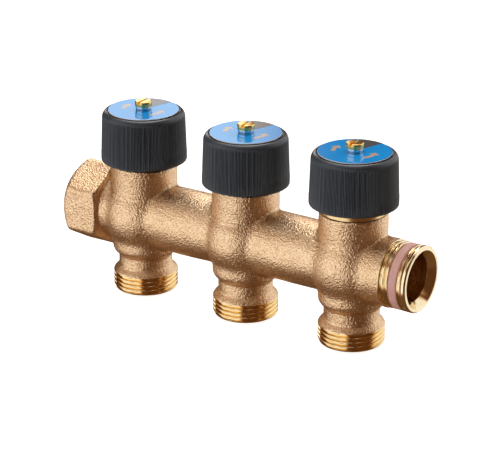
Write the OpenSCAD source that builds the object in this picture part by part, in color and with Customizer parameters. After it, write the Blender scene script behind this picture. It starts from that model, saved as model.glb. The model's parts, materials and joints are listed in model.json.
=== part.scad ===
// Underfloor heating manifold: cast body with three outlets and three handwheel valves.
// Millimetres, +Z up, +X from the hexagon inlet to the male end.
// The origin is the centre of the middle outlet's end face.

/* [Layout] */
// distance between neighbouring valve axes
valve_pitch = 50; // [40:1:80]
// height of the main tube's axis above the outlet faces
tube_z = 32.4; // [30:0.1:40]
// distance from the first valve axis to the inlet end face
inlet_reach = 30.85; // [28:0.05:50]
// distance from the third valve axis to the male end face
male_reach = 30.85; // [28:0.05:50]

/* [Body] */
// outside radius of the tube
tube_r = 13.5; // [12:0.1:16]
// radius of the ball around each valve chamber
ball_r = 16.6; // [15:0.1:20]
// outside radius of each upper neck
neck_r = 13.5; // [12:0.1:15]
// height of the upper neck's top face
neck_top = 54.2; // [50:0.1:60]
// outside radius of each outlet neck
outlet_neck_r = 10.95; // [10:0.05:12]
// radius of the waterway along the tube
main_bore_r = 9; // [6:0.1:10]
// radius of the machined bore at the male end
male_bore_r = 9.4; // [8:0.1:10.5]
// width of the inlet hexagon across its flats
hexagon_flats = 31; // [30:0.5:36]
// length of the inlet hexagon
hexagon_length = 16.65; // [14:0.05:24]

/* [Three-quarter inch pipe thread] */
// crest radius of the outside threads
thread_r = 13.22; // [10:0.01:17]
// root radius of the outside threads
thread_root_r = 12.06; // [9:0.01:16]
// crest radius of the inlet thread, the smallest radius inside it
inlet_crest_r = 12.3; // [9:0.01:16]
// root radius of the inlet thread
inlet_root_r = 13.28; // [10:0.01:17]
// distance from thread to thread
thread_pitch = 1.814; // [1:0.001:2.5]

/* [Valves] */
// thread pitch of the spindles
spindle_pitch = 1.5; // [1:0.25:3]
// full lift of a valve from closed to open
full_lift = 4.5; // [3:0.1:6]
// how far valve 1 stands open
opening_1 = 0.75; // [0:0.05:4.5]
// how far valve 2 stands open
opening_2 = 0.45; // [0:0.05:4.5]
// how far valve 3 stands open
opening_3 = 2.325; // [0:0.025:4.5]
// radius of the valve port
port_r = 6.5; // [4:0.1:7.5]
// height of the seat above the outlet faces
seat_z = 21.8; // [20:0.1:24]
// radius of the spindle's plain shaft
shaft_r = 4.2; // [3:0.1:5]
// crest radius of the spindle's thread
spindle_thread_r = 5; // [4:0.1:6]
// radial running clearance round the spindle
running_gap = 0.06; // [0.02:0.01:0.1]

/* [Handwheels] */
// height of the skirt's lower edge above the outlet faces when closed
wheel_closed_z = 54.94; // [54:0.01:58]
// largest radius of the handwheel
wheel_r = 17.47; // [16:0.01:22]
// radius of the handwheel just under its top shoulder
wheel_top_r = 16.88; // [15:0.01:21]
// radius of the handwheel's shoulder
shoulder_r = 3; // [1:0.1:4]
// radius of the blue cover disc
disc_r = 14.6; // [12:0.1:15]
// number of webs inside the handwheel
web_count = 6; // [3:1:8]

/* [Hidden] */
$fn = 96;
VALVES = [1, 2, 3];
openings = [opening_1, opening_2, opening_3];
slot_angles = [92, 100, 90];
left_x = -valve_pitch - inlet_reach;
right_x = valve_pitch + male_reach;
hexagon_corner_r = hexagon_flats / sqrt(3);
hexagon_end_x = left_x + hexagon_length;
chamber_r = 10.2;
bonnet_r = 11;
bonnet_floor_z = 42;
bonnet_bore_top = 49.5 + full_lift;
bonnet_top = 62.4;
outlet_bore_r = 9;
seal_from_x = right_x - 7.45;
seal_to_x = right_x - 3.95;
crest_half = 0.24;
root_half = 0.2;
skirt_h = 21;
hub_z = 63.3;
hub_h = hub_z - wheel_closed_z;
plate_h = 17;
recess_h = 19.9;
square = 5.9;
square_from_z = 65;
square_to_z = 72.6;
square_h = square_to_z - wheel_closed_z;
collar_h = 22.5;
head_h = 24.6;
screw_r = 2;

function valve_x(i) = (i - 2) * valve_pitch;
function lift(i) = openings[i - 1];

// One thread ring as profile points, from its lower root to its upper root.
function ring_points(at, root, crest) = [
  [root, at - thread_pitch / 2 + root_half],
  [crest, at - crest_half],
  [crest, at + crest_half],
  [root, at + thread_pitch / 2 - root_half]
];

// A row of thread rings, the first one centred at the height given.
function thread_points(first, count, root, crest) = [
  for (k = [0:count - 1]) each ring_points(first + k * thread_pitch, root, crest)
];

module at_valve(i) {
  translate([valve_x(i), 0, 0])
    children();
}

// Puts a profile drawn as [radius, x] round the tube's axis.
module round_tube_axis() {
  translate([0, 0, tube_z])
    rotate([0, 90, 0])
      rotate_extrude()
        children();
}

module outlet_outside() {
  rotate_extrude()
    polygon(concat(
      [[0, 0], [12.45, 0], [12.95, 0.6], [thread_root_r, 1.3]],
      thread_points(2.2, 3, thread_root_r, thread_r),
      [
        [thread_root_r, 6.95], [thread_r, 7.4], [thread_r, 8], [12.9, 8.7],
        [12.4, 9.35], [11.6, 10.05], [outlet_neck_r, 10.6], [outlet_neck_r, 14.9],
        [12, 15.7], [13, 17.1], [13.4, 18.2], [tube_r, 18.9], [tube_r, 24], [0, 24]
      ]
    ));
}

module valve_outside() {
  translate([0, 0, tube_z])
    sphere(r = ball_r);
  rotate_extrude()
    polygon([
      [0, tube_z], [neck_r, tube_z], [neck_r, neck_top - 0.4],
      [neck_r - 0.4, neck_top], [0, neck_top]
    ]);
  outlet_outside();
}

// Waterway from the outlet mouth up past the seat to the neck's top.
module valve_inside() {
  rotate_extrude()
    polygon([
      [0, -1], [10.17, -1], [outlet_bore_r, 3.4], [outlet_bore_r, 9.4],
      [8, 10], [8, 14], [port_r, 17], [port_r, seat_z - 0.2],
      [port_r + 0.2, seat_z], [port_r + 1.1, seat_z], [port_r + 1.4, seat_z - 0.8],
      [chamber_r, seat_z - 0.8], [chamber_r, 43.2], [bonnet_r, 44], [bonnet_r, neck_top - 0.6],
      [bonnet_r + 0.6, neck_top], [bonnet_r + 0.6, neck_top + 1], [0, neck_top + 1]
    ]);
}

module inlet_outside() {
  intersection() {
    translate([left_x, 0, tube_z])
      rotate([0, 90, 0])
        cylinder(r = hexagon_corner_r, h = hexagon_length, $fn = 6);
    round_tube_axis()
      polygon([
        [0, left_x], [15, left_x], [hexagon_corner_r + 0.4, left_x + 2.5],
        [hexagon_corner_r + 0.4, hexagon_end_x - 1.4], [14.9, hexagon_end_x], [0, hexagon_end_x]
      ]);
  }
}

module inlet_inside() {
  round_tube_axis()
    polygon(concat(
      [[0, left_x - 1], [14.6, left_x - 1], [inlet_crest_r, left_x + 1.5]],
      thread_points(left_x + 2.9, 6, inlet_crest_r, inlet_root_r),
      [[inlet_crest_r, left_x + 14.5], [main_bore_r, left_x + 16], [0, left_x + 16]]
    ));
}

module male_outside() {
  round_tube_axis()
    polygon(concat(
      [
        [0, right_x - 16], [tube_r, right_x - 16], [tube_r, right_x - 11.85],
        [13.2, right_x - 11.55], [thread_root_r, right_x - 11.15]
      ],
      thread_points(right_x - 10.25, 2, thread_root_r, thread_r),
      [[thread_root_r, seal_from_x], [thread_root_r, seal_to_x]],
      thread_points(right_x - 2.99, 1, thread_root_r, thread_r),
      [[thread_root_r, right_x - 2], [thread_r, right_x - 1.55], [thread_r, right_x - 0.7],
       [12.6, right_x], [0, right_x]]
    ));
}

module male_inside() {
  round_tube_axis()
    polygon([
      [0, right_x - 18], [main_bore_r, right_x - 18], [main_bore_r, right_x - 16.5],
      [male_bore_r, right_x - 16.1], [male_bore_r, right_x - 2.1], [10.9, right_x],
      [11.6, right_x + 1], [0, right_x + 1]
    ]);
}

module manifold_body() {
  color([0.78, 0.60, 0.38])
    difference() {
      union() {
        translate([hexagon_end_x - 2, 0, tube_z])
          rotate([0, 90, 0])
            cylinder(r = tube_r, h = right_x - 15 - hexagon_end_x + 2);
        inlet_outside();
        male_outside();
        for (i = VALVES)
          at_valve(i)
            valve_outside();
      }
      translate([left_x + 10, 0, tube_z])
        rotate([0, 90, 0])
          cylinder(r = main_bore_r, h = right_x - left_x - 27);
      inlet_inside();
      male_inside();
      for (i = VALVES)
        at_valve(i)
          valve_inside();
    }
}

module thread_seal_ring() {
  color([0.75, 0.56, 0.54])
    round_tube_axis()
      polygon([
        [thread_root_r, seal_from_x], [12.9, seal_from_x], [13.15, seal_from_x + 0.3],
        [13.15, seal_to_x - 0.3], [12.9, seal_to_x], [thread_root_r, seal_to_x]
      ]);
}

module bonnet(i) {
  color([0.85, 0.66, 0.33])
    at_valve(i)
      difference() {
        union() {
          rotate_extrude()
            polygon([
              [0, bonnet_floor_z], [9.2, bonnet_floor_z], [9.6, bonnet_floor_z + 0.4],
              [9.6, 44.2], [10.6, 44.2], [bonnet_r, 44.6], [bonnet_r, 51.4], [9.7, 51.4],
              [9.7, 53.1], [bonnet_r, 53.1], [bonnet_r, neck_top], [12.9, neck_top],
              [12.9, 57.4], [12.3, 58], [7.2, 58], [7.2, bonnet_top - 0.4],
              [6.8, bonnet_top], [0, bonnet_top]
            ]);
          translate([0, 0, 58])
            cylinder(r = 17 / sqrt(3), h = 3.2, $fn = 6);
        }
        rotate_extrude()
          polygon([
            [0, bonnet_floor_z - 1], [spindle_thread_r + running_gap + 0.6, bonnet_floor_z - 1],
            [spindle_thread_r + running_gap + 0.6, bonnet_floor_z],
            [spindle_thread_r + running_gap, bonnet_floor_z + 0.6],
            [spindle_thread_r + running_gap, bonnet_bore_top],
            [shaft_r + running_gap, bonnet_bore_top],
            [shaft_r + running_gap, bonnet_top - 0.4],
            [shaft_r + running_gap + 0.4, bonnet_top],
            [shaft_r + running_gap + 0.4, bonnet_top + 1], [0, bonnet_top + 1]
          ]);
      }
}

module bonnet_o_ring(i) {
  color([0.08, 0.08, 0.08])
    at_valve(i)
      translate([0, 0, 52.25])
        rotate_extrude()
          translate([10.35, 0])
            circle(r = 0.65);
}

module at_lift(i) {
  translate([valve_x(i), 0, lift(i)])
    children();
}

// The holder is closed over the spindle's button, so it is pulled along but needn't turn.
module valve_disc(i) {
  color([0.80, 0.62, 0.32])
    at_lift(i)
      rotate_extrude()
        polygon([
          [2.5, 24.22], [9.2, 24.22], [9.2, 26], [8.8, 26.4], [5.6, 26.4], [5.6, 31.4],
          [5, 32], [2.5 + running_gap, 32], [2.5 + running_gap, 29.9], [3.6, 29.9],
          [3.6, 27.4], [2.5, 27.4]
        ]);
}

module seat_washer(i) {
  color([0.07, 0.07, 0.07])
    at_lift(i)
      rotate_extrude()
        polygon([
          [2.5, 21.82], [8.1, 21.82], [8.4, 22.12], [8.4, 24.22], [2.5, 24.22]
        ]);
}

module washer_screw(i) {
  color([0.82, 0.65, 0.36])
    at_lift(i)
      difference() {
        rotate_extrude()
          polygon([
            [0, 20.2], [3.9, 20.2], [4.2, 20.5], [4.2, 21.82], [2.5, 21.82],
            [2.5, 26.5], [2.2, 26.8], [0, 26.8]
          ]);
        translate([-5, -0.5, 19.4])
          cube([10, 1, 1.6]);
      }
}

module spindle(i) {
  color([0.86, 0.68, 0.36])
    at_lift(i)
      difference() {
        union() {
          rotate_extrude()
            polygon(concat(
              [
                [0, 27.45], [3.2, 27.45], [3.5, 27.75], [3.5, 29.85], [2.5, 29.85],
                [2.5, 32.2], [shaft_r - 0.3, 32.2], [shaft_r, 32.5], [shaft_r, 39.5],
                [spindle_thread_r, 40.2]
              ],
              [
                for (k = [0:4]) each [
                  [spindle_thread_r, 41.2 + k * spindle_pitch],
                  [shaft_r, 41.6 + k * spindle_pitch],
                  [shaft_r, 41.8 + k * spindle_pitch],
                  [spindle_thread_r, 42.2 + k * spindle_pitch]
                ]
              ],
              [
                [spindle_thread_r, 48.6], [spindle_thread_r - 0.4, 49.1], [shaft_r, 49.1],
                [shaft_r, 55.3], [3.08, 55.3], [3.08, 56.8], [shaft_r, 56.8],
                [shaft_r, square_from_z - 0.3], [shaft_r - 0.3, square_from_z], [0, square_from_z]
              ]
            ));
          translate([-square / 2, -square / 2, square_from_z - 0.5])
            cube([square, square, square_to_z - square_from_z + 0.5]);
        }
        translate([0, 0, 66])
          cylinder(r = screw_r, h = 10);
      }
}

module stem_o_ring(i) {
  color([0.08, 0.08, 0.08])
    at_lift(i)
      translate([0, 0, 56.05])
        rotate_extrude()
          translate([3.65, 0])
            circle(r = 0.57);
}

module at_wheel(i) {
  translate([valve_x(i), 0, wheel_closed_z + lift(i)])
    children();
}

module handwheel(i) {
  color([0.20, 0.21, 0.23])
    at_wheel(i) {
      difference() {
        union() {
          rotate_extrude()
            polygon(concat(
              [
                [15.7, 0], [16.9, 0], [17.3, 0.25], [wheel_r, 0.8], [wheel_r, 1.5],
                [wheel_top_r, skirt_h - 2.9]
              ],
              [
                for (a = [12:12:72]) [
                  wheel_top_r - shoulder_r * (1 - cos(a)),
                  skirt_h - 2.9 + shoulder_r * sin(a)
                ]
              ],
              [
                [disc_r + 0.15, 20.95], [disc_r + 0.15, recess_h], [0, recess_h],
                [0, plate_h], [14.3, plate_h], [15.2, 1.5]
              ]
            ));
          translate([0, 0, hub_h])
            cylinder(r = 6.6, h = plate_h - hub_h + 1);
          for (k = [0:web_count - 1])
            rotate([0, 0, k * 360 / web_count])
              translate([5.6, -0.8, 11.2])
                cube([9.2, 1.6, plate_h - 10.7]);
        }
        translate([0, 0, hub_h - 1])
          cylinder(r = shaft_r + 0.05, h = square_from_z - hub_z + 1);
        translate([-square / 2, -square / 2, hub_h])
          cube([square, square, square_h - hub_h]);
        translate([0, 0, square_h - 1])
          cylinder(r = screw_r + 0.2, h = 6);
      }
    }
}

module cover_disc(i) {
  color([0.09, 0.44, 0.80])
    at_wheel(i)
      rotate_extrude()
        polygon([
          [screw_r + 0.2, recess_h], [disc_r, recess_h], [disc_r, 20.8],
          [disc_r - 0.2, skirt_h], [screw_r + 0.2, skirt_h]
        ]);
}

module screw_collar(i) {
  color([0.88, 0.86, 0.80])
    at_wheel(i)
      rotate_extrude()
        polygon([
          [screw_r + 0.1, skirt_h], [3.2, skirt_h], [3.2, collar_h - 0.2],
          [3, collar_h], [screw_r + 0.1, collar_h]
        ]);
}

module handwheel_screw(i) {
  color([0.88, 0.70, 0.38])
    at_wheel(i)
      difference() {
        rotate_extrude()
          polygon([
            [0, 12.2], [screw_r - 0.4, 12.2], [screw_r, 12.6], [screw_r, collar_h],
            [3.45, collar_h], [3.45, head_h - 0.35], [3.1, head_h], [0, head_h]
          ]);
        translate([0, 0, head_h - 1.1])
          rotate([0, 0, slot_angles[i - 1]])
            translate([-5, -0.55, 0])
              cube([10, 1.1, 3]);
      }
}

manifold_body();
thread_seal_ring();
for (i = VALVES) {
  bonnet(i);
  bonnet_o_ring(i);
  valve_disc(i);
  seat_washer(i);
  washer_screw(i);
  spindle(i);
  stem_o_ring(i);
  handwheel(i);
  cover_disc(i);
  screw_collar(i);
  handwheel_screw(i);
}
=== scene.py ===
"""Looks of the underfloor heating manifold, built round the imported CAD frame.

Sizes are in millimetres until a mesh is made. Profiles are lists of (radius, height) or, with a
fillet, (radius, height, fillet radius), counted from the base of their own piece.
"""
import json
import math

import bmesh
import bpy
import numpy as np
from mathutils import Matrix, Vector


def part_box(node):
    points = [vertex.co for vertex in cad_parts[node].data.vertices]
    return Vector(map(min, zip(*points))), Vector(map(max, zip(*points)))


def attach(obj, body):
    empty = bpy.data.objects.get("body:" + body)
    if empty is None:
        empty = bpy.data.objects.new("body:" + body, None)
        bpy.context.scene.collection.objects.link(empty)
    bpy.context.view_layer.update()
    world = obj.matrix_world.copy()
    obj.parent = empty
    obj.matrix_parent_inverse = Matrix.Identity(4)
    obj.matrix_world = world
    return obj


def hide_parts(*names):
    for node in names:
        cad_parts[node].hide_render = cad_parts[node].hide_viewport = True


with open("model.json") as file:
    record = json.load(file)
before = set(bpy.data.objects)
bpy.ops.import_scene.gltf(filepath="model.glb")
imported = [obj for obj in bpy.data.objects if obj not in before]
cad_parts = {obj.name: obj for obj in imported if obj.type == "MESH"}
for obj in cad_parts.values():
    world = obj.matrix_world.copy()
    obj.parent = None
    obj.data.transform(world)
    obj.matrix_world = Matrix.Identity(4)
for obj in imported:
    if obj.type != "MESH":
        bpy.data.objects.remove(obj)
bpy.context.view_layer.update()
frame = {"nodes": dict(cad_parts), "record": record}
VALVES = (1, 2, 3)
TURN = 2 * math.pi
MM, METRE = 0.001, 1000  # a millimetre in metres, a metre in millimetres

# The photograph's camera: angles in radians, distances in metres.
AZIMUTH, ELEVATION, ROLL = 0.5926, 0.3685, 0.0021
TARGET, DISTANCE = (0.002015, 0, 0.03766), 0.87321
LENS, SENSOR = 157.87, 36


def box_mm(node):
    low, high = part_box(node)
    return low * METRE, high * METRE


def mount(name):
    return next(m for m in frame["record"]["mounts"] if m["name"] == name)


LEFT, RIGHT = box_mm("manifold_body")[0].x, box_mm("manifold_body")[1].x
NECK_TOP = box_mm("manifold_body")[1].z
TUBE_Z = mount("male_thread")["pos_m"][2] * METRE
VALVE_X = [mount(f"outlet_{i}_bore")["pos_m"][0] * METRE for i in VALVES]
WHEEL_Z = [box_mm(f"handwheel_{i}")[0].z for i in VALVES]
THREAD_R = mount("male_thread")["dims"]["r_mm"]
INLET_R = mount("inlet_thread")["dims"]["r_mm"]
MALE_BORE = mount("male_bore")["dims"]["r_mm"]
OUTLET_BORE = mount("outlet_1_bore")["dims"]["r_mm"]
PITCH = 1.814  # of the 3/4 inch pipe thread
ROOT_R, FEMALE_ROOT_R = 12.06, 13.28  # of the outside threads and of the inlet's thread
TUBE_R, BALL_R, NECK_R, PIPE_R = 13.5, 16.6, 13.5, 11.05
HEX_HALF, HEX_LENGTH = 15.5, 16.65  # half the width across flats, length along the tube
SIN_60 = 0.8660254
OUTLET_CUT = 10.6  # height at which the casting ends and the turned outlets begin
MALE_LENGTH = 11.85  # turned part of the male end
MALE_CUT = RIGHT - MALE_LENGTH

# Handwheels, heights above the wheel's lower edge.
WHEEL_R, WHEEL_TOP = 17.47, 19.9  # WHEEL_TOP is the floor of the recess that holds the disc
DISC_TOP, COLLAR_TOP, SCREW_TOP = 21, 22.5, 24.6
DISC_HOLE_R = 2.2


# ---------------------------------------------------------------- camera

def make_camera():
    level = math.cos(ELEVATION)
    back = Vector((math.sin(AZIMUTH) * level, -math.cos(AZIMUTH) * level, math.sin(ELEVATION)))
    data = bpy.data.cameras.new("camera")
    data.lens, data.sensor_width = LENS, SENSOR
    data.clip_start, data.clip_end = 0.05, 20
    camera = bpy.data.objects.new("camera", data)
    bpy.context.scene.collection.objects.link(camera)
    turn = (-back).to_track_quat("-Z", "Y") @ Matrix.Rotation(ROLL, 3, "Z").to_quaternion()
    camera.rotation_mode = "QUATERNION"
    camera.rotation_quaternion = turn
    camera.location = Vector(TARGET) + back * DISTANCE
    bpy.context.scene.camera = camera


# ---------------------------------------------------------------- meshes

def put(name, mesh, material, body, replaced=()):
    """Makes a piece that rides on a body. material is one material or a list of them."""
    piece = bpy.data.objects.new(name, mesh)
    bpy.context.scene.collection.objects.link(piece)
    for m in material if isinstance(material, (list, tuple)) else [material]:
        mesh.materials.append(m)
    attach(piece, body)
    if replaced:
        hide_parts(*replaced)
    return piece


def mesh_from(name, points, faces, sharp=0.6):
    """points in mm as an array, faces as an array of quads or triangles."""
    mesh = bpy.data.meshes.new(name)
    points = np.asarray(points, np.float32).reshape(-1, 3) * MM
    faces = np.asarray(faces, np.int32)
    count, corners = faces.shape
    mesh.vertices.add(len(points))
    mesh.vertices.foreach_set("co", points.ravel())
    mesh.loops.add(count * corners)
    mesh.loops.foreach_set("vertex_index", faces.ravel())
    mesh.polygons.add(count)
    mesh.polygons.foreach_set("loop_start", np.arange(count, dtype=np.int32) * corners)
    mesh.polygons.foreach_set("loop_total", np.full(count, corners, np.int32))
    mesh.update(calc_edges=True)
    mesh.polygons.foreach_set("use_smooth", np.ones(count, bool))
    if sharp:
        mesh.set_sharp_from_angle(angle=sharp)
    return mesh


def rounded(points, closed=True):
    """Corners given as (r, h, fillet radius) become short arcs."""
    out = []
    for i, (x, y, rad) in enumerate(points):
        if rad == 0 or (not closed and i in (0, len(points) - 1)):
            out.append((x, y))
            continue
        p = np.array((x, y), float)
        a = np.array(points[i - 1][:2]) - p
        b = np.array(points[(i + 1) % len(points)][:2]) - p
        la, lb = np.linalg.norm(a), np.linalg.norm(b)
        a, b = a / la, b / lb
        half = math.acos(max(-1.0, min(1.0, float(a @ b)))) / 2
        d = min(rad / math.tan(half), 0.49 * la, 0.49 * lb)
        rad = d * math.tan(half)
        centre = p + (a + b) / np.linalg.norm(a + b) * rad / math.sin(half)
        start, end = p + a * d - centre, p + b * d - centre
        a0, a1 = math.atan2(start[1], start[0]), math.atan2(end[1], end[0])
        sweep = (a1 - a0 + math.pi) % TURN - math.pi
        steps = max(2, math.ceil(abs(sweep) / 0.3))
        for k in range(steps + 1):
            angle = a0 + sweep * k / steps
            out.append(tuple(centre + rad * np.array((math.cos(angle), math.sin(angle)))))
    return out


def around(r, h, theta, centre, axis):
    """Radius, height and angle arrays as points round the Z or X axis through centre."""
    c, s = np.cos(theta), np.sin(theta)
    if axis == "z":
        return np.stack([centre[0] + r * c, centre[1] + r * s, centre[2] + h], -1)
    return np.stack([centre[0] + h, centre[1] - r * s, centre[2] + r * c], -1)


def revolve(name, profile, centre, axis="z", steps=160, shape=None, sharp=0.6):
    """A closed ring: the profile's loop turned round an axis. shape may change the radii."""
    profile = np.array(profile, float)
    theta = np.arange(steps) * TURN / steps
    r = np.repeat(profile[:, :1], steps, 1)
    h = np.repeat(profile[:, 1:], steps, 1)
    t = np.repeat(theta[None], len(profile), 0)
    if shape:
        r = shape(r, h, t)
    points = around(r, h, t, centre, axis)
    rows, cols = np.meshgrid(np.arange(len(profile)), np.arange(steps), indexing="ij")
    down, over = (rows + 1) % len(profile), (cols + 1) % steps
    corners = [rows * steps + cols, rows * steps + over, down * steps + over, down * steps + cols]
    mesh = mesh_from(name, points, np.stack(corners, -1).reshape(-1, 4), sharp)
    tidy_mesh(mesh)
    return mesh


def tidy_mesh(mesh, weld=1e-7):
    """Welds double points, drops empty faces and turns every face outwards."""
    bm = bmesh.new()
    bm.from_mesh(mesh)
    bmesh.ops.remove_doubles(bm, verts=bm.verts, dist=weld)
    bmesh.ops.dissolve_degenerate(bm, edges=bm.edges, dist=weld)
    bmesh.ops.recalc_face_normals(bm, faces=bm.faces)
    bm.to_mesh(mesh)
    bm.free()


def by_place(mesh, pick):
    """Gives each face the material number that pick says for its centre in metres."""
    for face in mesh.polygons:
        face.material_index = pick(face.center)


def ramp(x, a, b):
    """Smooth step from 0 at a to 1 at b."""
    t = np.clip((x - a) / (b - a), 0, 1)
    return t * t * (3 - 2 * t)


# ---------------------------------------------------------------- casting

def smooth_min(a, b, k):
    """The lesser of two fields, blended over k millimetres where they meet."""
    h = np.maximum(k - np.abs(a - b), 0)
    return np.minimum(a, b) - h * h / (4 * k)


def smooth_max(a, b, k):
    return -smooth_min(-a, -b, k)


def hexagon_field(x, y, z):
    """Hexagon with soft edges, its corners turned off by a cone at each end."""
    up = z - TUBE_Z
    away = np.hypot(y, up)
    flats = [np.abs(y), np.abs(0.5 * y + SIN_60 * up), np.abs(0.5 * y - SIN_60 * up)]
    edge, cone_edge, end_edge = 1.3, 0.9, 0.5
    side = smooth_max(smooth_max(flats[0], flats[1], edge), flats[2], edge) - HEX_HALF
    outer_cone = (away - 15 - 1.32 * (x - LEFT)) / 1.656
    inner_cone = (away - 14.9 - 2.43 * (LEFT + HEX_LENGTH - x)) / 2.63
    ends = np.maximum(LEFT - x, x - LEFT - HEX_LENGTH)
    turned = smooth_max(smooth_max(side, outer_cone, cone_edge), inner_cone, cone_edge)
    return smooth_max(turned, ends, end_edge)


def valve_field(x, y, z, at):
    """Ball with the neck above it, the round-cornered boss below it and the outlet's pipe."""
    round_ = np.hypot(x - at, y)
    ball = np.sqrt((x - at) ** 2 + y ** 2 + (z - TUBE_Z) ** 2) - BALL_R
    neck = np.maximum(smooth_max(round_ - NECK_R, z - NECK_TOP, 0.8), TUBE_Z - z)
    boss_corner, boss_low, boss_high, pipe_high = 4, 14.9, 27, 24
    q = np.stack([round_ - NECK_R + boss_corner, boss_low + boss_corner - z])
    outside = np.hypot(np.maximum(q[0], 0), np.maximum(q[1], 0))
    boss = outside + np.minimum(np.maximum(q[0], q[1]), 0) - boss_corner
    boss = np.maximum(boss, z - boss_high)
    pipe = np.maximum(round_ - PIPE_R, z - pipe_high)
    ridge_height, ridge_r = 9.75, 0.5  # the small bead where the neck leaves the ball
    ridge = np.hypot(round_ - NECK_R, z - TUBE_Z - ridge_height) - ridge_r
    body = smooth_min(smooth_min(ball, neck, 0.3), ridge, 0.4)
    body = smooth_min(body, boss, 1.2)
    return smooth_min(body, pipe, 0.9)


def waterway_field(x, y, z):
    """The bore along the tube and the stepped bore through each valve, from outlet to neck."""
    thread_r, tube_bore = 14.2, 9
    along = np.interp(
        x,
        [LEFT - 1, LEFT + 13, LEFT + 14.5, LEFT + 16, RIGHT - 16.5, RIGHT - 16.1, RIGHT],
        [thread_r, thread_r, 12.8, tube_bore, tube_bore, MALE_BORE, MALE_BORE],
    )
    hollow = np.hypot(y, z - TUBE_Z) - along
    outlet, port, seat, chamber, neck, mouth = 8, 6.5, 6.9, 10.2, 11, 11.6
    up = np.interp(
        z,
        [0, 14, 17, 21.1, 21.4, 21.6, 43.2, 44, 53.6, NECK_TOP, 60],
        [outlet, outlet, port, port, seat, chamber, chamber, neck, neck, mouth, mouth],
    )
    for at in VALVE_X:
        hollow = np.minimum(hollow, np.hypot(x - at, y) - up)
    return hollow


def unevenness(x, y, z):
    """The slight waviness of a sand casting, the same on every run."""
    rng = np.random.default_rng(7)
    total = 0
    height = 0.0022  # of a wave, as a share of its length
    for wave in (22, 15, 9, 6):
        for _ in range(3):
            k = rng.normal(size=3)
            k *= TURN / wave / np.linalg.norm(k)
            phase = k[0] * x + k[1] * y + k[2] * z + rng.uniform(0, TURN)
            total = total + np.sin(phase) * wave * height
    return total


def casting_field(x, y, z):
    """The whole casting: below zero in the metal. The waviness fades out at every machined end."""
    skin = 0.03  # keeps the waviness inside the CAD's surface
    body = smooth_min(np.hypot(y, z - TUBE_Z) - TUBE_R, hexagon_field(x, y, z), 1.0)
    body = np.maximum(body, LEFT - x)
    for at in VALVE_X:
        body = smooth_min(body, valve_field(x, y, z, at), 1.1)
    keep = ramp(z, OUTLET_CUT, 13) * (1 - ramp(x, MALE_CUT - 3, MALE_CUT))
    keep = keep * (1 - ramp(z, NECK_TOP - 3, NECK_TOP))
    body = body + unevenness(x, y, z) * keep * ramp(x, LEFT + 0.5, LEFT + 3) + skin
    return smooth_max(body, -waterway_field(x, y, z), 0.4)


def in_grid(cell, b, c, size, least):
    """Which cells have b and c numbers from least up to the grid's last cell."""
    return ((cell[:, b] >= least) & (cell[:, c] >= least)
            & (cell[:, b] < size[b] - 1) & (cell[:, c] < size[c] - 1))


def surface_net(field, low, high, step):
    """Quads on the zero level of a field, one vertex in each cell that the surface crosses."""
    axes = [np.arange(a, b + step, step, dtype=np.float32) for a, b in zip(low, high)]
    f = field(*np.meshgrid(*axes, indexing="ij")).astype(np.float32)
    size = np.array(f.shape)
    total = np.zeros((*(size - 1), 3), np.float32)
    hits = np.zeros(size - 1, np.int16)
    crossings = []
    for a in range(3):
        first = np.take(f, np.arange(size[a] - 1), axis=a)
        second = np.take(f, np.arange(1, size[a]), axis=a)
        crossed = (first < 0) != (second < 0)
        i, j, k = np.nonzero(crossed)
        share = first[i, j, k] / (first[i, j, k] - second[i, j, k])
        place = np.stack([i, j, k], -1).astype(np.float32)
        place[:, a] += share
        crossings.append((a, np.stack([i, j, k], -1), first[i, j, k] < 0))
        b, c = [n for n in range(3) if n != a]
        for db in (0, 1):
            for dc in (0, 1):
                cell = np.stack([i, j, k], -1)
                cell[:, b] -= db
                cell[:, c] -= dc
                ok = in_grid(cell, b, c, size, 0)
                cell, spot = cell[ok], place[ok]
                np.add.at(total, tuple(cell.T), spot)
                np.add.at(hits, tuple(cell.T), 1)
    used = hits > 0
    number = np.full(size - 1, -1, np.int64)
    number[used] = np.arange(used.sum())
    points = np.array(low) + total[used] / hits[used][:, None] * step
    quads = []
    for a, cell, inward in crossings:
        b, c = [n for n in range(3) if n != a]
        ok = in_grid(cell, b, c, size, 1)
        cell, inward = cell[ok], inward[ok]
        corner = []
        for db, dc in ((1, 1), (0, 1), (0, 0), (1, 0)):
            at = cell.copy()
            at[:, b] -= db
            at[:, c] -= dc
            corner.append(number[tuple(at.T)])
        quad = np.stack(corner, -1)
        flip = inward if a == 1 else ~inward
        quad[flip] = quad[flip][:, ::-1]
        quads.append(quad)
    return points, np.concatenate(quads)


def slope(field, p, e=0.03):
    """Gradient of a field at each point, from differences over e on both sides."""
    rows = []
    for a in range(3):
        d = np.zeros(3)
        d[a] = e
        rows.append((field(*(p + d).T) - field(*(p - d).T)) / (2 * e))
    return np.stack(rows, -1)


def settle(field, points, step):
    """Moves each point onto the field's zero level, never far in one go."""
    rounds, least_slope, longest = 4, 0.2, 0.4 * step
    p = points.astype(np.float64)
    for _ in range(rounds):
        g = slope(field, p)
        size = np.maximum(np.sum(g * g, -1), least_slope)
        move = -(field(*p.T) / size)[:, None] * g
        far = np.maximum(np.linalg.norm(move, axis=-1, keepdims=True) / longest, 1)
        p = p + move / far
    return p


def cut(bm, point, normal):
    """Cuts the mesh off flat beyond a plane and closes the cut."""
    found = bmesh.ops.bisect_plane(
        bm,
        geom=bm.verts[:] + bm.edges[:] + bm.faces[:],
        plane_co=Vector(point) * MM,
        plane_no=normal,
        clear_outer=True,
        dist=2e-6,
    )
    edges = [e for e in found["geom_cut"] if isinstance(e, bmesh.types.BMEdge) and e.is_boundary]
    bmesh.ops.triangle_fill(bm, edges=edges, use_beauty=True, normal=normal)
    for e in edges:
        e.smooth = False


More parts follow.
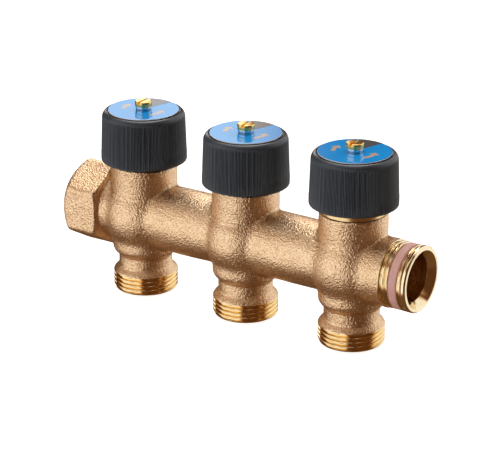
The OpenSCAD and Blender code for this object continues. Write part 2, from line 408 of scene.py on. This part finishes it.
def make_casting(material):
    step = 0.55
    half_depth, past_cut = 18.9, 1.5
    low = (LEFT - 1.03, -half_depth, OUTLET_CUT - past_cut)
    high = (MALE_CUT + past_cut, half_depth, NECK_TOP + 1)
    points, quads = surface_net(casting_field, low, high, step)
    points = settle(casting_field, points, step)
    mesh = mesh_from("casting", points, quads, sharp=0)
    bm = bmesh.new()
    bm.from_mesh(mesh)
    cut(bm, (0, 0, OUTLET_CUT), (0, 0, -1))
    cut(bm, (MALE_CUT, 0, 0), (1, 0, 0))
    bmesh.ops.recalc_face_normals(bm, faces=bm.faces)
    for face in bm.faces:
        face.smooth = True
    bm.to_mesh(mesh)
    bm.free()
    return put("casting", mesh, material, "manifold", ["manifold_body"])


# ---------------------------------------------------------------- threads

def thread(h, theta, crest_at, root, crest):
    """Radius of a right-hand thread with rounded crests and roots."""
    phase = ((h - crest_at) / PITCH - theta / TURN) % 1
    off = np.abs(np.where(phase > 0.5, 1 - phase, phase)) * 2
    return root + (crest - root) * (1 - ramp(off, 0.14, 0.86))


def between(a, b, step=0.1):
    """Heights from a to b, about step apart."""
    return [float(v) for v in np.linspace(a, b, max(2, int(round(abs(b - a) / step)) + 1))]


def make_outlet(i, metals):
    """Threaded outlet collar with its flare: one closed ring. metals: thread, bore, flare."""
    front = -(math.pi / 2 - AZIMUTH)  # the angle that faces the camera, where a crest is known
    crest_height, thread_end, flare_start = 2.2, 7.4, 7.7
    mouth_r = 10.0

    def shape(r, h, theta):
        outside = (r > 11.9) & (h < 7.6)
        crest = thread(h, theta - front, crest_height, ROOT_R, THREAD_R)
        crest = np.maximum(crest, ROOT_R + (THREAD_R - ROOT_R) * ramp(h, 6.75, thread_end))
        lead_in = 12.45 + 0.83 * h
        return np.where(outside, np.minimum(crest, lead_in), r)

    def metal(centre):
        if math.hypot(centre.x * METRE - VALVE_X[i - 1], centre.y * METRE) < mouth_r + 0.05:
            return 1
        return 2 if centre.z > flare_start * MM else 0

    lower = [(12.2, 0.0)] + [(THREAD_R, h) for h in between(0.02, thread_end)]
    flare = [
        (THREAD_R, thread_end, 0),
        (THREAD_R, 7.65, 0.15),
        (12.8, 8.35, 0.4),
        (12.25, 8.95, 0.7),
        (11.4, 9.7, 0.7),
        (PIPE_R, OUTLET_CUT, 0),
    ]
    inside = [(8, OUTLET_CUT), (8, 10), (OUTLET_BORE, 9.4), (OUTLET_BORE, 6.4)]
    mouth = [(OUTLET_BORE, 3.45), (9.1, 3.1), (9.85, 0.25), (mouth_r, 0.0)]
    profile = lower + rounded(flare, closed=False)[1:] + inside + mouth
    mesh = revolve(f"outlet_{i}", profile, (VALVE_X[i - 1], 0, 0), "z", 256, shape)
    by_place(mesh, metal)
    return put(f"outlet_{i}", mesh, metals, "manifold")


def make_male_end(metals):
    """Turned end of the tube, its thread and the seal ring's bed. metals: outside, bore."""
    thread_start, thread_end, crest_height = -11.5, -1.5, -10.25
    bed_low, bed_high, undercut_end = -7.5, -3.9, -11.1

    def shape(r, h, theta):
        crest = thread(h, theta, crest_height, ROOT_R, THREAD_R)
        crest = np.where((h > bed_low) & (h < bed_high), ROOT_R, crest)
        crest = np.maximum(crest, ROOT_R + (THREAD_R - ROOT_R) * ramp(h, -1.95, -1.55))
        undercut = ROOT_R + (13.3 - ROOT_R) * (1 - ramp(h, -11.6, undercut_end))
        crest = np.minimum(crest, undercut + 4 * ramp(h, undercut_end, -10.9))
        return np.where((r == THREAD_R) & (h < thread_end), crest, r)

    root = [(TUBE_R, -MALE_LENGTH, 0), (TUBE_R, -11.62, 0.15), (THREAD_R, thread_start, 0)]
    outside = [(TUBE_R, -MALE_LENGTH)] + rounded(root, closed=False)[1:-1]
    outside += [(THREAD_R, h) for h in between(thread_start, thread_end)]
    lip = [
        (THREAD_R, thread_end, 0),
        (THREAD_R, -0.62, 0.25),
        (12.78, 0, 0.2),
        (11.55, 0, 0.1),
        (MALE_BORE, -3.0, 0.2),
        (MALE_BORE, -6, 0),
    ]
    inside = [(MALE_BORE, -8.0), (MALE_BORE, -10.0), (MALE_BORE, -MALE_LENGTH)]
    profile = outside + rounded(lip, closed=False)[1:] + inside
    mesh = revolve("male_end", profile, (RIGHT, 0, TUBE_Z), "x", 256, shape)
    in_bore = MALE_BORE + 0.02
    by_place(mesh, lambda c: 1 if math.hypot(c.y * METRE, c.z * METRE - TUBE_Z) < in_bore else 0)
    return put("male_end", mesh, metals, "manifold")


def make_inlet(metal):
    """Lining of the hexagon end: a ring with the female thread inside."""
    crest_height, thread_end, mouth_r, depth = 2.9, 13.3, 13.6, 14.4

    def shape(r, h, theta):
        groove = thread(h, theta, crest_height, INLET_R, FEMALE_ROOT_R)
        groove = np.where(h > thread_end, INLET_R, groove)
        return np.where(r == INLET_R, np.maximum(groove, mouth_r - 0.87 * h), r)

    thread_rows = [(INLET_R, h) for h in between(depth, 0.02)]
    back = [
        (mouth_r, 0, 0),
        (14.95, 0, 0.15),
        (14.95, 0.35, 0),
        (14.2, 0.36, 0),
        (14.2, 13, 0),
        (12.8, 14.45, 0),
    ]
    profile = thread_rows + rounded(back, closed=False)
    mesh = revolve("inlet", profile, (LEFT, 0, TUBE_Z), "x", 256, shape)
    return put("inlet", mesh, metal, "manifold")


def make_seal_ring(material):
    """The soft ring in its bed, pressed a little out of round."""
    low, high = box_mm("thread_seal_ring")
    length = high.x - low.x
    outer, sag = 13.15, 0.03

    def shape(r, h, theta):
        return r + np.where(r > 12.5, sag * np.sin(7 * theta + 1.3) * np.sin(h * 2.1) - sag, 0)

    rows = rounded([(ROOT_R, 0, 0), (outer, 0, 0.45), (outer, length, 0.45), (ROOT_R, length, 0)])
    mesh = revolve("seal_ring", rows, (low.x, 0, TUBE_Z), "x", 192, shape)
    return put("seal_ring", mesh, material, "manifold", ["thread_seal_ring"])


# ---------------------------------------------------------------- handwheels

def wheel_base(i):
    """Centre of the handwheel's lower edge."""
    return VALVE_X[i - 1], 0, WHEEL_Z[i - 1]


def ribs(r, h, theta):
    """Fine upright ribs from the lower edge to the shoulder, where they fade out."""
    count, deepest, uneven = 180, 0.2, 0.15
    depth = deepest * ramp(h, 0.2, 0.5) * (1 - ramp(h, 17.6, 20.0))
    outside = r > 15.71
    groove = (0.5 + 0.5 * np.cos(count * theta)) ** 2
    varied = 1 + uneven * np.sin(61 * theta) + uneven * np.sin(47 * theta)
    return r - np.where(outside, depth * groove * varied, 0)


def make_handwheel(i, plastic, lip_plastic):
    """Ribbed shell with its hub in one closed ring, and the webs under its plate."""
    base = wheel_base(i)
    skirt_r, taper, lip_height = 15.7, 0.0356, 20.15
    hub_bore, hub_r, hub_low, hub_high, plate_low = 4.2, 6.6, 8.36, 17.66, 17
    skirt = rounded(
        [(skirt_r, 0, 0.1), (17.43, 0, 0.28), (WHEEL_R, 0.9, 0), (17.46, 3.7, 0), (17.35, 3.9, 0)],
        closed=False,
    )
    wall = [(WHEEL_R - taper * (h - 1.5), h) for h in (5, 8, 11, 14, 16, 17.2)]
    shoulder = [
        (14.4 + 2.48 * math.cos(a), 17.8 + 2.88 * math.sin(a))
        for a in np.linspace(0, math.radians(56), 12)
    ]
    rim = [(*shoulder[-1], 0), (15.0, 20.56, 0.1), (14.87, 20.5, 0.05), (14.86, WHEEL_TOP, 0.05)]
    hub = [
        (DISC_HOLE_R, WHEEL_TOP, 0),
        (DISC_HOLE_R, hub_high, 0),
        (hub_bore, hub_high, 0),
        (hub_bore, hub_low, 0),
        (hub_r, hub_low, 0.4),
        (hub_r, plate_low, 0.6),
    ]
    inside = [(14.3, plate_low, 0.9), (15.2, 1.5, 0.3), (skirt_r, 0, 0)]
    profile = skirt + wall + shoulder + rounded(rim + hub + inside, closed=False)[1:-1]
    mesh = revolve(f"handwheel_shell_{i}", profile, base, "z", 1080, ribs)
    by_place(mesh, lambda c: 1 if c.z > (base[2] + lip_height) * MM else 0)
    body, slot = f"wheel_{i}", "handwheel_plastic"
    put(f"handwheel_shell_{i}", mesh, [plastic, lip_plastic], body, [f"handwheel_{i}"])
    put(f"handwheel_webs_{i}", webs(f"handwheel_webs_{i}", base), plastic, body)


def webs(name, base):
    """Six ribs under the wheel's plate, between hub and skirt."""
    count, size, middle, half_way = 6, (8.4, 1.6, 6.1), (10.5, 0, 14.2), 12
    bm = bmesh.new()
    for k in range(count):
        turn = Matrix.Rotation(k * TURN / count, 3, "Z")
        made = bmesh.ops.create_cube(bm, size=1)["verts"]
        bmesh.ops.scale(bm, verts=made, vec=size)
        bmesh.ops.translate(bm, verts=made, vec=middle)
        bmesh.ops.rotate(bm, verts=made, cent=(0, 0, 0), matrix=turn)
    low = [e for e in bm.edges if all(v.co.z < half_way for v in e.verts)]
    bmesh.ops.bevel(bm, geom=low, offset=0.3, segments=2, affect="EDGES")
    bmesh.ops.translate(bm, verts=bm.verts, vec=base)
    bmesh.ops.scale(bm, verts=bm.verts, vec=(MM,) * 3)
    mesh = bpy.data.meshes.new(name)
    bm.to_mesh(mesh)
    bm.free()
    return mesh


def make_disc(i, materials, grey, beige):
    """Disc with a raised rim. materials: face, edge (painted highlight: coloured white for the
    bright line along the rim), underside. Then its prints.
    """
    base = wheel_base(i)
    foot_r, disc_r, step_height = 13.95, 14.32, 20.7
    face_level = base[2] * MM + 0.02099

    def surface(centre):
        if centre.z > face_level:
            return 0
        # Faces below the face level and beyond radius 14 carry the edge's painted highlight.
        return 1 if math.hypot(centre.x * METRE - base[0], centre.y * METRE) > 14 else 2

    below = [(DISC_HOLE_R, WHEEL_TOP), (foot_r, WHEEL_TOP), (foot_r, step_height)]
    edge = [(disc_r, step_height), (disc_r, 20.94), (14.26, DISC_TOP), (14.1, DISC_TOP)]
    rows = below + edge + [(2.4, DISC_TOP), (DISC_HOLE_R, DISC_TOP)]
    mesh = revolve(f"disc_{i}", rows, base, "z", 192)
    by_place(mesh, surface)
    put(f"disc_{i}", mesh, materials, f"wheel_{i}", [f"cover_disc_{i}"])
    print_on(f"disc_{i}_grey_field", sector(3.25, 14.25, 73, 114), base, grey, i)
    print_on(f"disc_{i}_arrow_left", arrow(212, 182, 166), base, beige, i)
    print_on(f"disc_{i}_arrow_right", arrow(-36, 3, 19), base, beige, i)


def arc(r, angles):
    """Points at radius r and at each of the angles in radians."""
    return [(r * math.cos(a), r * math.sin(a)) for a in angles]


def sector(inner, outer, a0, a1):
    """Outline of a ring's piece between two angles in degrees."""
    angles = np.radians(np.linspace(a0, a1, 22))
    return arc(outer, angles) + arc(inner, angles[::-1])


def arrow(tail, neck, tip, middle=8.3, half=0.8, barb=2.3):
    """Outline of a curved arrow on a circle, from its tail angle to its tip angle in degrees."""
    angles = np.radians(np.linspace(tail, neck, 12))
    n, t = [math.radians(neck)], [math.radians(tip)]
    head = arc(middle + barb, n) + arc(middle, t) + arc(middle - barb, n)
    return arc(middle + half, angles) + head + arc(middle - half, angles[::-1])


def print_on(name, outline, base, material, i):
    """A thin printed field lying on the disc, sunk into it by a hundredth."""
    sunk, thickness = 20.99, 0.00003
    level = (base[2] + sunk) * MM
    bm = bmesh.new()
    corners = [bm.verts.new(((base[0] + x) * MM, (base[1] + y) * MM, level)) for x, y in outline]
    face = bm.faces.new(corners)
    top = bmesh.ops.extrude_face_region(bm, geom=[face])["geom"]
    raised = [v for v in top if isinstance(v, bmesh.types.BMVert)]
    bmesh.ops.translate(bm, verts=raised, vec=(0, 0, thickness))
    bmesh.ops.recalc_face_normals(bm, faces=bm.faces)
    mesh = bpy.data.meshes.new(name)
    bm.to_mesh(mesh)
    bm.free()
    return put(name, mesh, material, f"wheel_{i}")


def make_collar(i, plated):
    """Bright stepped collar between the disc and the screw's head."""
    low, high, hole_r, foot_r, collar_r = 21.02, COLLAR_TOP, 2.1, 3.0, 3.2
    rows = rounded([
        (hole_r, low, 0),
        (foot_r, low, 0.08),
        (foot_r, 21.35, 0.05),
        (collar_r, 21.45, 0.08),
        (collar_r, high, 0.22),
        (hole_r, high, 0),
    ])
    mesh = revolve(f"collar_{i}", rows, wheel_base(i), "z", 96)
    put(f"collar_{i}", mesh, plated, f"wheel_{i}", [f"screw_collar_{i}"])


def make_screw(i, brass, turned):
    """Slotted cheese-head screw: a turned blank with its slot cut by a boolean.

    turned is the slot's angle in degrees.
    """
    base = wheel_base(i)
    axis_r, shank_r, head_r, shank_low = 0.01, 2.0, 3.45, 12.2
    slot_size = (0.009, 0.0011, 0.0022)  # metres, half of its height lies above the head
    rows = rounded([
        (axis_r, shank_low, 0),
        (1.6, shank_low, 0),
        (shank_r, 12.6, 0),
        (shank_r, COLLAR_TOP, 0),
        (head_r, COLLAR_TOP, 0.1),
        (head_r, SCREW_TOP, 0.45),
        (axis_r, SCREW_TOP, 0),
    ])
    blank = revolve(f"screw_{i}", rows, base, "z", 96)
    piece = put(f"screw_{i}", blank, brass, f"wheel_{i}", [f"handwheel_screw_{i}"])
    cutter_mesh = bpy.data.meshes.new("cutter")
    turn = Matrix.Rotation(math.radians(turned), 3, "Z")
    bm = bmesh.new()
    bmesh.ops.create_cube(bm, size=1)
    bmesh.ops.scale(bm, verts=bm.verts, vec=slot_size)
    bmesh.ops.rotate(bm, verts=bm.verts, cent=(0, 0, 0), matrix=turn)
    head_top = Vector((base[0], base[1], base[2] + SCREW_TOP)) * MM
    bmesh.ops.translate(bm, verts=bm.verts, vec=head_top)
    bm.to_mesh(cutter_mesh)
    bm.free()
    cutter = bpy.data.objects.new("cutter", cutter_mesh)
    bpy.context.scene.collection.objects.link(cutter)
    step = piece.modifiers.new("slot", "BOOLEAN")
    step.object, step.operation, step.solver = cutter, "DIFFERENCE", "EXACT"
    bpy.context.view_layer.update()
    cut_piece = piece.evaluated_get(bpy.context.evaluated_depsgraph_get())
    done = bpy.data.meshes.new_from_object(cut_piece)
    piece.modifiers.clear()
    piece.data = done
    done.name = f"screw_{i}"
    done.set_sharp_from_angle(angle=0.6)
    bpy.data.objects.remove(cutter)


# ---------------------------------------------------------------- materials

def new_material(name, **sockets):
    """A material, its node tree and its shader, with plain values set on some sockets."""
    material = bpy.data.materials.new(name)
    material.use_nodes = True
    shader = next(n for n in material.node_tree.nodes if n.type == "BSDF_PRINCIPLED")
    for key, value in sockets.items():
        shader.inputs[key.replace("_", " ")].default_value = value
    return material, material.node_tree, shader


def node(tree, kind, **settings):
    """A node. Settings with a capital letter are its sockets, the others its properties."""
    n = tree.nodes.new(kind)
    for key, value in settings.items():
        if hasattr(n, key) and not key[0].isupper():
            setattr(n, key, value)
        else:
            n.inputs[key.replace("_", " ")].default_value = value
    return n


def noise(tree, scale, detail=2.0, rough=0.5, stretch=None):
    """Noise in the object's own coordinates, scale per metre."""
    where = node(tree, "ShaderNodeTexCoord").outputs["Object"]
    if stretch:
        mapping = node(tree, "ShaderNodeMapping", Scale=stretch)
        tree.links.new(where, mapping.inputs["Vector"])
        where = mapping.outputs["Vector"]
    n = node(tree, "ShaderNodeTexNoise", Scale=scale, Detail=detail, Roughness=rough)
    tree.links.new(where, n.inputs["Vector"])
    return n.outputs["Fac"]


def colours(tree, factor, stops):
    """Colour ramp through stops of (place, colour)."""
    r = node(tree, "ShaderNodeValToRGB")
    ends = r.color_ramp.elements
    for end, (place, colour) in zip((ends[0], ends[1]), (stops[0], stops[-1])):
        end.position, end.color = place, (*colour, 1)
    for place, colour in stops[1:-1]:
        ends.new(place).color = (*colour, 1)
    tree.links.new(factor, r.inputs["Fac"])
    return r.outputs["Color"]


def spread(tree, factor, low, high):
    """Noise as a value from low to high."""
    m = node(tree, "ShaderNodeMapRange", From_Min=0.3, From_Max=0.7, To_Min=low, To_Max=high)
    tree.links.new(factor, m.inputs["Value"])
    return m.outputs["Result"]


def coat(tree, shader, colour, roughness):
    tree.links.new(colour, shader.inputs["Base Color"])
    tree.links.new(roughness, shader.inputs["Roughness"])


def bump(tree, shader, layers):
    """Adds bump layers, each given as (height output, strength, depth in metres)."""
    last = None
    for height, strength, depth in layers:
        b = node(tree, "ShaderNodeBump", Strength=strength, Distance=depth)
        tree.links.new(height, b.inputs["Height"])
        if last:
            tree.links.new(last, b.inputs["Normal"])
        last = b.outputs["Normal"]
    tree.links.new(last, shader.inputs["Normal"])


def cast_bronze():
    """Sand-cast metal: soft patches, painted shade as dark warm specks in the grain's hollows, and
    two sizes of bump.
    """
    material, tree, shader = new_material("cast_bronze", Metallic=1.0)
    patch = noise(tree, 95, 3, 0.6)
    grain = noise(tree, 1900, 0, 0.5)
    fine = noise(tree, 2600, 2, 0.6)
    bronze_stops = [(0.3, (0.86, 0.62, 0.39)), (0.5, (0.90, 0.66, 0.43)), (0.7, (0.93, 0.70, 0.47))]
    # Painted shade: the colour darkens and warms where the grain noise is low, in the hollows of
    # the grain's bump.
    hollow_shade_stops = [(0.34, (0.74, 0.65, 0.57)), (0.5, (0.95, 0.93, 0.91)), (0.62, (1.0, 1.0, 1.0))]
    base = colours(tree, patch, bronze_stops)
    hollow_shade = colours(tree, grain, hollow_shade_stops)
    mix = node(tree, "ShaderNodeMix", data_type="RGBA", blend_type="MULTIPLY")
    mix.inputs["Factor"].default_value = 0.9
    first_colour, second_colour, mixed_colour = 6, 7, 2  # the colour sockets' numbers
    tree.links.new(base, mix.inputs[first_colour])
    tree.links.new(hollow_shade, mix.inputs[second_colour])
    coat(tree, shader, mix.outputs[mixed_colour], spread(tree, fine, 0.32, 0.42))
    bump(tree, shader, [(noise(tree, 1050, 1, 0.6), 1.0, 0.00026), (grain, 1.0, 0.00018)])
    return material


def turned_metal(name, colour, roughness, axis, marks=0.25):
    """Machined metal with fine turning marks round its axis and a few darker stains."""
    material, tree, shader = new_material(name, Metallic=1.0)
    stretch = {"z": (1, 1, 60), "x": (60, 1, 1)}[axis]
    lines = noise(tree, 90, 3, 0.6, stretch)
    stain = noise(tree, 220, 3, 0.6)
    stained = tuple(c * 0.86 for c in colour)
    shades = colours(tree, stain, [(0.32, stained), (0.6, colour)])
    coat(tree, shader, shades, spread(tree, lines, roughness * 0.8, roughness * 1.3))
    bump(tree, shader, [(lines, marks, 0.00002), (noise(tree, 900, 2, 0.5), 0.04, 0.00002)])
    return material


def handwheel_plastic(name, smooth, rough):
    """Anthracite plastic with faint mottling, its roughness from smooth to rough."""
    material, tree, shader = new_material(name, Metallic=0.0)
    mottling = noise(tree, 240, 3, 0.6)
    pores = noise(tree, 4200, 2, 0.5)
    shades = colours(tree, mottling, [(0.3, (0.036, 0.051, 0.071)), (0.7, (0.045, 0.063, 0.086))])
    coat(tree, shader, shades, spread(tree, mottling, smooth, rough))
    bump(tree, shader, [(pores, 0.25, 0.00003)])
    return material


def disc_blue():
    """Glossy blue enamel, very slightly wavy."""
    material, tree, shader = new_material("disc_blue", Metallic=0.0, IOR=1.52)
    shade = noise(tree, 130, 2, 0.5)
    shades = colours(tree, shade, [(0.3, (0.0, 0.36, 0.96)), (0.7, (0.0, 0.39, 0.99))])
    coat(tree, shader, shades, spread(tree, noise(tree, 700, 3, 0.6), 0.03, 0.07))
    bump(tree, shader, [(noise(tree, 160, 2, 0.5), 0.04, 0.00005)])
    return material


def print_ink(name, dark, light):
    material, tree, shader = new_material(name, Metallic=0.0)
    shades = colours(tree, noise(tree, 900, 3, 0.6), [(0.3, dark), (0.7, light)])
    coat(tree, shader, shades, spread(tree, noise(tree, 1500, 2, 0.5), 0.08, 0.14))
    bump(tree, shader, [(noise(tree, 1600, 2, 0.5), 0.05, 0.00001)])
    return material


def rubber(name, dark, light):
    material, tree, shader = new_material(name, Metallic=0.0)
    shades = colours(tree, noise(tree, 500, 3, 0.6), [(0.3, dark), (0.7, light)])
    coat(tree, shader, shades, spread(tree, noise(tree, 1200, 2, 0.5), 0.47, 0.65))
    bump(tree, shader, [(noise(tree, 1100, 3, 0.6), 0.3, 0.00006)])
    return material


def floor_white():
    """White that lights itself a little, so that the floor melts into the backdrop."""
    material, tree, shader = new_material("floor_white", Roughness=0.9)
    stops = [(0.3, (0.80, 0.80, 0.80)), (0.7, (0.82, 0.82, 0.82))]
    tree.links.new(colours(tree, noise(tree, 3, 2, 0.5), stops), shader.inputs["Base Color"])
    shader.inputs["Emission Color"].default_value = (1, 1, 1, 1)
    shader.inputs["Emission Strength"].default_value = 0.8
    return material


# ---------------------------------------------------------------- studio

def make_floor():
    """The floor is seen by the camera only: it neither lights the part nor mirrors in it."""
    bm = bmesh.new()
    bmesh.ops.create_grid(bm, x_segments=8, y_segments=8, size=6)
    mesh = bpy.data.meshes.new("floor")
    bm.to_mesh(mesh)
    bm.free()
    mesh.materials.append(floor_white())
    floor = bpy.data.objects.new("floor", mesh)
    floor.location.z = -0.0003
    bpy.context.scene.collection.objects.link(floor)
    for part in ("diffuse", "glossy", "transmission", "shadow"):
        setattr(floor, "visible_" + part, False)


def make_studio(boxes, dark, under):
    """The room as a plain dark warm space with soft lit cards.

    Each card is (turn from the camera's side, half width, height, half height, edge, strength,
    colour), angles in degrees. dark is the room's colour and under the colour towards the floor.
    """
    world = bpy.data.worlds.new("studio")
    bpy.context.scene.world = world
    world.use_nodes = True
    tree = world.node_tree
    out = next(n for n in tree.nodes if n.type == "BACKGROUND")
    way = node(tree, "ShaderNodeTexCoord").outputs["Generated"]
    apart = node(tree, "ShaderNodeSeparateXYZ")
    tree.links.new(way, apart.inputs[0])

    def maths(operation, *values):
        n = node(tree, "ShaderNodeMath", operation=operation)
        for k, v in enumerate(values):
            if isinstance(v, (int, float)):
                n.inputs[k].default_value = v
            else:
                tree.links.new(v, n.inputs[k])
        return n.outputs[0]

    def along(direction):
        """How far a view direction points along a level direction."""
        return maths(
            "ADD",
            maths("MULTIPLY", apart.outputs["X"], direction[0]),
            maths("MULTIPLY", apart.outputs["Y"], direction[1]),
        )

    def fade(value, full, none):
        """1 up to full, then softly down to 0 at none."""
        m = node(tree, "ShaderNodeMapRange", interpolation_type="SMOOTHSTEP",
                 From_Min=full, From_Max=none, To_Min=1.0, To_Max=0.0)
        tree.links.new(value, m.inputs["Value"])
        return m.outputs["Result"]

    height = maths("ARCSINE", apart.outputs["Z"])
    rad = math.radians
    warm_edges = (1.0, 1.5, 2.0)  # red, green and blue fade out one before the other
    factor, first, second = 1, 4, 5  # the mix node's sockets for vectors
    total = colours(tree, fade(height, rad(-45), rad(-12)), [(0, dark), (1, under)])
    for turn, half, at, tall, edge, strength, colour in boxes:
        a = AZIMUTH + rad(turn)
        front, side = (math.sin(a), -math.cos(a)), (math.cos(a), math.sin(a))
        near, across = along(front), along(side)
        off = maths("ABSOLUTE", maths("ARCTAN2", across, near))
        rise = maths("ABSOLUTE", maths("SUBTRACT", height, rad(at)))
        lit = maths(
            "MULTIPLY",
            fade(off, rad(half - edge), rad(half + edge)),
            fade(rise, rad(tall - edge), rad(tall + edge)),
        )
        parts = node(tree, "ShaderNodeCombineXYZ")
        for k, power in enumerate(warm_edges):
            tree.links.new(maths("POWER", lit, power), parts.inputs[k])
        mix = node(tree, "ShaderNodeMix", data_type="VECTOR", factor_mode="NON_UNIFORM")
        tree.links.new(parts.outputs[0], mix.inputs[factor])
        tree.links.new(total, mix.inputs[first])
        mix.inputs[second].default_value = [strength * c for c in colour]
        total = mix.outputs[1]
    tree.links.new(total, out.inputs["Color"])
    out.inputs["Strength"].default_value = 1.0


# ---------------------------------------------------------------- build

make_camera()
bronze = cast_bronze()
thread_brass = turned_metal("thread_brass", (0.96, 0.74, 0.42), 0.13, "z", 0.12)
end_brass = turned_metal("end_brass", (0.94, 0.78, 0.52), 0.14, "x", 0.05)
bore_bronze = turned_metal("bore_bronze", (0.90, 0.60, 0.30), 0.24, "x", 0.2)
outlet_bore_bronze = turned_metal("outlet_bore_bronze", (0.74, 0.47, 0.25), 0.3, "z", 0.3)
machined_brass = turned_metal("machined_brass", (0.90, 0.66, 0.34), 0.26, "z")
screw_brass = turned_metal("screw_brass", (0.95, 0.66, 0.22), 0.2, "z", 0.3)
plated = turned_metal("plated_steel", (0.90, 0.90, 0.92), 0.1, "z", 0.15)
plastic = handwheel_plastic("handwheel_plastic", 0.3, 0.4)
lip_plastic = handwheel_plastic("handwheel_lip", 0.16, 0.24)
blue = disc_blue()
grey_ink = print_ink("grey_ink", (0.092, 0.106, 0.125), (0.105, 0.12, 0.14))
beige_ink = print_ink("beige_ink", (0.58, 0.44, 0.31), (0.66, 0.50, 0.37))
# Painted highlight: the disc's edge is coloured white for the bright line along its rim.
painted_rim_highlight = print_ink("painted_rim_highlight", (0.84, 0.84, 0.83), (0.90, 0.90, 0.89))
black_rubber = rubber("black_rubber", (0.012, 0.012, 0.013), (0.024, 0.024, 0.026))
pink_rubber = rubber("pink_rubber", (0.80, 0.46, 0.42), (0.90, 0.56, 0.52))

make_casting(bronze)
make_male_end([end_brass, bore_bronze])
make_inlet(end_brass)
make_seal_ring(pink_rubber)
SLOT_ANGLES = (92, 100, 90)
for i, turned in zip(VALVES, SLOT_ANGLES):
    make_outlet(i, [thread_brass, outlet_bore_bronze, bronze])
    make_handwheel(i, plastic, lip_plastic)
    make_disc(i, [blue, painted_rim_highlight, plastic], grey_ink, beige_ink)
    make_collar(i, plated)
    make_screw(i, screw_brass, turned)

# The CAD pieces that stay as they are, and what they are made of.
KEPT = {
    "bonnet": machined_brass,
    "bonnet_o_ring": black_rubber,
    "valve_disc": machined_brass,
    "seat_washer": black_rubber,
    "washer_screw": screw_brass,
    "spindle": machined_brass,
    "stem_o_ring": black_rubber,
}
for kind, material in KEPT.items():
    for i in VALVES:
        data = frame["nodes"][f"{kind}_{i}"].data
        data.materials.clear()
        data.materials.append(material)

WARM_WHITE, WHITE = (1, 0.99, 0.97), (1, 1, 1)
make_studio(
    [
        (-60, 120, 78, 20, 12, 0.75, (1, 0.97, 0.93)),  # ceiling
        (-125, 60, 54, 14, 10, 0.8, WARM_WHITE),  # high, behind on the left
        (-62, 44, 0, 34, 7, 1.22, WARM_WHITE),  # left
        (120, 38, 12, 46, 8, 1.08, WARM_WHITE),  # right
        (180, 34, 64, 15, 5, 5.2, WHITE),  # high behind, for the handwheels' lips
        (190.4, 11.3, 36, 30, 1.8, 1.8, WHITE),  # narrow behind, mirrored by the discs
    ],
    (0.10, 0.042, 0.016),
    (0.14, 0.07, 0.03),
)
make_floor()
bpy.context.scene.view_settings.view_transform = "Standard"
bpy.context.scene.view_settings.look = "None"
